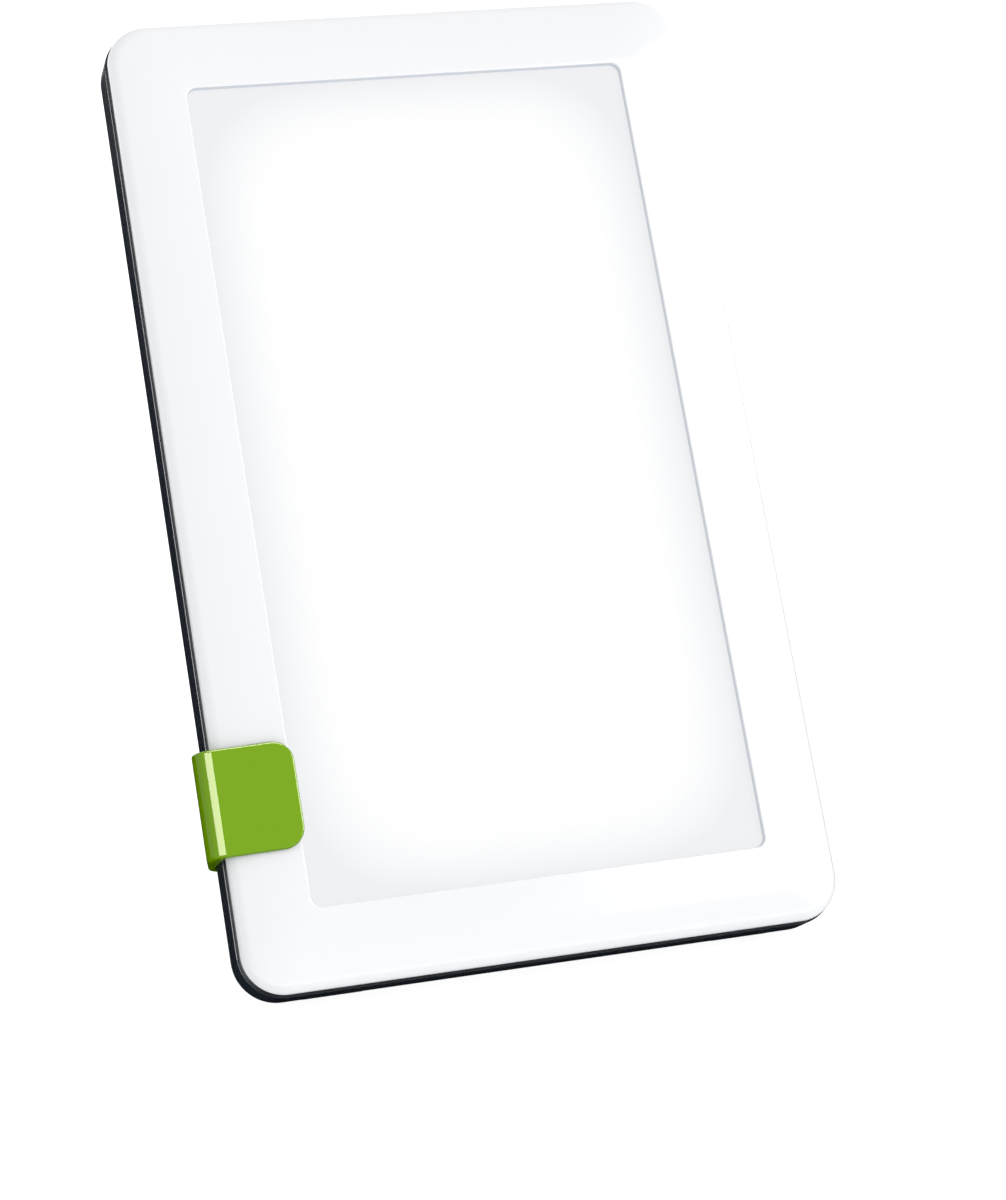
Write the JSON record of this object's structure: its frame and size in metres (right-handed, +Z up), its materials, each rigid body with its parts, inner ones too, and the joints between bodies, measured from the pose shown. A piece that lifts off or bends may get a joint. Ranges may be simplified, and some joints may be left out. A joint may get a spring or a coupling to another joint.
{
  "type": "light therapy lamp",
  "caption": "Slim edge-lit light panel in a white frame with a dark back, leaning on a green clip-on stand that slides along its edge, with a push button and a barrel power inlet.",
  "frame": {"origin": "on the table, under the middle of the box that holds the leaned-back lamp and its stand", "axes": "+Z up, -Y towards the user (the lit face looks along -Y and up), +X to the right as the user sees it"},
  "size_m": [0.1489, 0.1314, 0.2117],
  "materials": {
    "gloss_white": "high gloss white moulding",
    "black_seal": "black elastomer",
    "opal_screen": "opal acrylic, lit from behind",
    "clear_film": "clear prismatic film",
    "white_film": "white film",
    "clear_acrylic": "clear acrylic plate",
    "strip_board": "white coated circuit strip",
    "led_resin": "phosphor resin in white packages",
    "tray_aluminium": "plain sheet",
    "screw_steel": "zinc plated steel",
    "board_green": "solder mask",
    "chip_black": "moulded epoxy",
    "coil_ferrite": "ferrite drum",
    "can_aluminium": "drawn can",
    "connector_white": "natural nylon",
    "jack_black": "moulded nylon",
    "contact_nickel": "nickel plated brass",
    "lead_sheath": "soft sheath",
    "button_grey": "satin moulding",
    "shell_anthracite": "fine satin texture",
    "foot_rubber": "matt rubber",
    "stand_green": "high gloss lime green moulding"
  },
  "bodies": {
    "lamp": {"front_bezel": "gloss_white", "seam_ring": "black_seal", "screen_gasket": "black_seal", "light_screen": "opal_screen", "prism_film": "clear_film", "diffuser_film": "white_film", "light_guide_plate": "clear_acrylic", "reflector_sheet": "white_film", "led_strip_left": "strip_board", "led_strip_right": "strip_board", "leds_left": "led_resin", "leds_right": "led_resin", "heat_tray": "tray_aluminium", "tray_screws": "screw_steel", "control_board": "board_green", "board_screws": "screw_steel", "driver_chip": "chip_black", "power_coil": "coil_ferrite", "capacitors": "can_aluminium", "lead_connectors": "connector_white", "dc_jack": "jack_black", "dc_pin": "contact_nickel", "inlet_lead": "lead_sheath", "led_lead_left": "lead_sheath", "led_lead_right": "lead_sheath", "switch_lead": "lead_sheath", "switch_board": "board_green", "tact_switch": "jack_black", "back_shell": "shell_anthracite", "shell_screws": "screw_steel", "foot_pads": "foot_rubber"},
    "button": {"power_button": "button_grey", "switch_plunger": "jack_black"},
    "stand": {"stand_clip": "stand_green", "stand_sole": "foot_rubber", "stand_grip_pad": "foot_rubber"}
  },
  "joints": [
    {"name": "button_press", "type": "slide", "parent": "lamp", "child": "button", "axis": [0, -0.866, 0.5], "range_m": [0, 0.0006], "stiffness_N_per_m": 2500},
    {"name": "stand_slide", "type": "slide", "parent": "lamp", "child": "stand", "axis": [0, 0.5, 0.866], "range_m": [-0.02, 0.06]}
  ]
}
